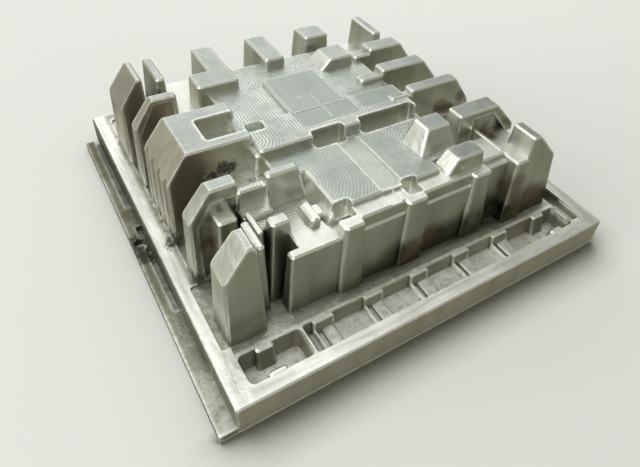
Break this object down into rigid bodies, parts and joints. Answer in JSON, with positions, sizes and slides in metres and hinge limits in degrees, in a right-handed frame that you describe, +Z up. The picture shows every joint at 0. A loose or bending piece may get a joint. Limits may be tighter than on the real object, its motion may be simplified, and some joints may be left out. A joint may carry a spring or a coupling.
{
  "type": "packaging mould core half",
  "caption": "Square aluminium mould half for foam packaging: rimmed plate, front trough with pockets and a raised core with chamfered towers.",
  "frame": {"origin": "middle of the flat underside of the plate (the clamping flange on the left is outside the plate)", "axes": "+Z up out of the plate towards the towers, +X along the trough from the flange side, +Y away from the trough"},
  "size_m": [0.414, 0.396, 0.128],
  "materials": {
    "milled_aluminium": "satin"
  },
  "bodies": {
    "root": {"mould_core_half": "milled_aluminium"}
  },
  "joints": []
}
